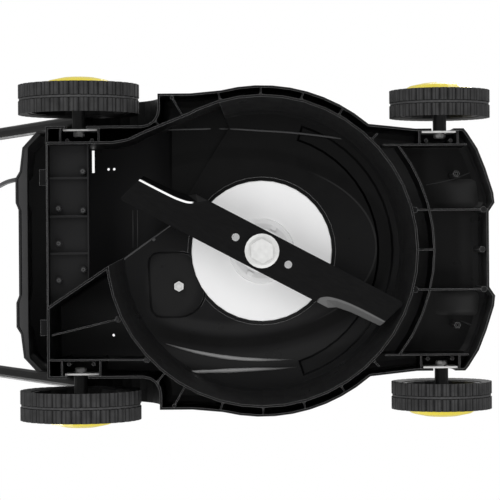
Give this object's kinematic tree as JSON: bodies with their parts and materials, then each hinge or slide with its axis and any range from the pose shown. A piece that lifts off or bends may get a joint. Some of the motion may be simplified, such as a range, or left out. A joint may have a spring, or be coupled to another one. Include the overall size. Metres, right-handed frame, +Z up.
{
  "type": "electric lawn mower",
  "caption": "Walk-behind electric lawn mower: moulded deck with a volute and rear discharge tunnel, hooded motor, winged blade, adjustable wheels, folding handle and switch box.",
  "frame": {"origin": "middle of the mower's bounding box in plan, on the floor under the wheels", "axes": "+X forward to the bumper, +Y to the mower's left, +Z up along the blade's axis"},
  "size_m": [1.2124, 0.493, 0.9828],
  "materials": {
    "deck_plastic": "moulded black plastic, lightly textured",
    "grey_plastic": "dark grey moulded plastic",
    "yellow_plastic": "glossy yellow plastic",
    "pale_plastic": "pale moulded plastic",
    "tread": "dull dark grey tread",
    "foam": "soft black foam",
    "cable": "grey sheathed cable",
    "plated_steel": "bright plated steel",
    "black_steel": "black painted steel",
    "cast_alloy": "cast aluminium",
    "dark_alloy": "dark cast alloy",
    "laminations": "stacked steel sheet",
    "copper": "enamelled copper wire"
  },
  "bodies": {
    "deck": {"deck_shell": "deck_plastic", "chute_floor": "grey_plastic", "anchor_nut": "plated_steel", "motor_base": "cast_alloy", "stator_core": "laminations", "winding": "copper", "motor_cap": "cast_alloy", "lower_bearing": "plated_steel", "upper_bearing": "plated_steel", "capacitor": "pale_plastic", "motor_hood": "yellow_plastic", "front_left_axle_plate": "plated_steel", "front_right_axle_plate": "plated_steel", "rear_left_axle_plate": "plated_steel", "rear_right_axle_plate": "plated_steel", "flap_pin": "plated_steel", "lower_tube_left": "black_steel", "lower_tube_right": "black_steel", "handle_bracket_left": "deck_plastic", "handle_bracket_right": "deck_plastic", "pivot_bolt_left": "plated_steel", "pivot_bolt_right": "plated_steel", "power_lead": "cable"},
    "rotor": {"rotor_core": "laminations", "motor_shaft": "plated_steel", "spindle_disc": "pale_plastic", "blade_carrier": "dark_alloy", "blade_bolt": "plated_steel", "blade": "black_steel"},
    "flap": {"rear_flap": "deck_plastic"},
    "front_left_axle": {"front_left_axle_bolt": "plated_steel", "front_left_axle_sleeve": "deck_plastic"},
    "front_right_axle": {"front_right_axle_bolt": "plated_steel", "front_right_axle_sleeve": "deck_plastic"},
    "rear_left_axle": {"rear_left_axle_bolt": "plated_steel", "rear_left_axle_sleeve": "deck_plastic"},
    "rear_right_axle": {"rear_right_axle_bolt": "plated_steel", "rear_right_axle_sleeve": "deck_plastic"},
    "front_left_wheel": {"front_left_tyre": "tread", "front_left_rim": "deck_plastic", "front_left_hub_cap": "yellow_plastic"},
    "front_right_wheel": {"front_right_tyre": "tread", "front_right_rim": "deck_plastic", "front_right_hub_cap": "yellow_plastic"},
    "rear_left_wheel": {"rear_left_tyre": "tread", "rear_left_rim": "deck_plastic", "rear_left_hub_cap": "yellow_plastic"},
    "rear_right_wheel": {"rear_right_tyre": "tread", "rear_right_rim": "deck_plastic", "rear_right_hub_cap": "yellow_plastic"},
    "handle": {"upper_handle": "black_steel", "grip": "foam", "switch_cover": "deck_plastic", "switch_base": "deck_plastic", "power_switch": "grey_plastic", "mains_inlet": "deck_plastic"},
    "left_knob": {"knob_left": "deck_plastic"},
    "right_knob": {"knob_right": "deck_plastic"},
    "lever": {"start_lever": "yellow_plastic"},
    "button": {"lock_button": "yellow_plastic"}
  },
  "joints": [
    {"name": "rotor_spin", "type": "hinge", "parent": "deck", "child": "rotor", "pos_m": [0.28519, 0, 0.06], "axis": [0, 0, 1], "continuous": true},
    {"name": "flap_hinge", "type": "hinge", "parent": "deck", "child": "flap", "pos_m": [-0.01981, 0, 0.212], "axis": [0, 1, 0], "range_deg": [0, 75], "stiffness_Nm_per_rad": 0.15, "springref_deg": -28.65},
    {"name": "front_left_height", "type": "slide", "parent": "deck", "child": "front_left_axle", "axis": [0, 0, -1], "range_m": [0, 0.03]},
    {"name": "front_right_height", "type": "slide", "parent": "deck", "child": "front_right_axle", "axis": [0, 0, -1], "range_m": [0, 0.03]},
    {"name": "rear_left_height", "type": "slide", "parent": "deck", "child": "rear_left_axle", "axis": [0, 0, -1], "range_m": [0, 0.03]},
    {"name": "rear_right_height", "type": "slide", "parent": "deck", "child": "rear_right_axle", "axis": [0, 0, -1], "range_m": [0, 0.03]},
    {"name": "front_left_spin", "type": "hinge", "parent": "front_left_axle", "child": "front_left_wheel", "pos_m": [0.53519, 0.203, 0.07], "axis": [0, 1, 0], "continuous": true},
    {"name": "front_right_spin", "type": "hinge", "parent": "front_right_axle", "child": "front_right_wheel", "pos_m": [0.53519, -0.203, 0.07], "axis": [0, 1, 0], "continuous": true},
    {"name": "rear_left_spin", "type": "hinge", "parent": "rear_left_axle", "child": "rear_left_wheel", "pos_m": [0.02919, 0.21425, 0.085], "axis": [0, 1, 0], "continuous": true},
    {"name": "rear_right_spin", "type": "hinge", "parent": "rear_right_axle", "child": "rear_right_wheel", "pos_m": [0.02919, -0.21425, 0.085], "axis": [0, 1, 0], "continuous": true},
    {"name": "handle_fold", "type": "hinge", "parent": "deck", "child": "handle", "pos_m": [-0.25201, 0, 0.54224], "axis": [0, 1, 0], "range_deg": [0, 150], "deforming": ["power_lead"]},
    {"name": "left_knob_turn", "type": "hinge", "parent": "deck", "child": "left_knob", "pos_m": [-0.25201, 0.2, 0.54224], "axis": [0, 1, 0], "range_deg": [0, 360]},
    {"name": "right_knob_turn", "type": "hinge", "parent": "deck", "child": "right_knob", "pos_m": [-0.25201, -0.2, 0.54224], "axis": [0, -1, 0], "range_deg": [0, 360]},
    {"name": "start_lever_press", "type": "hinge", "parent": "handle", "child": "lever", "pos_m": [-0.55699, 0.05, 0.9131], "axis": [0, 1, 0], "range_deg": [0, 25], "stiffness_Nm_per_rad": 0.3, "springref_deg": -17.19},
    {"name": "lock_button_press", "type": "slide", "parent": "handle", "child": "button", "axis": [-0.788, 0, -0.6157], "range_m": [0, 0.005], "stiffness_N_per_m": 400, "springref_m": -0.002}
  ]
}
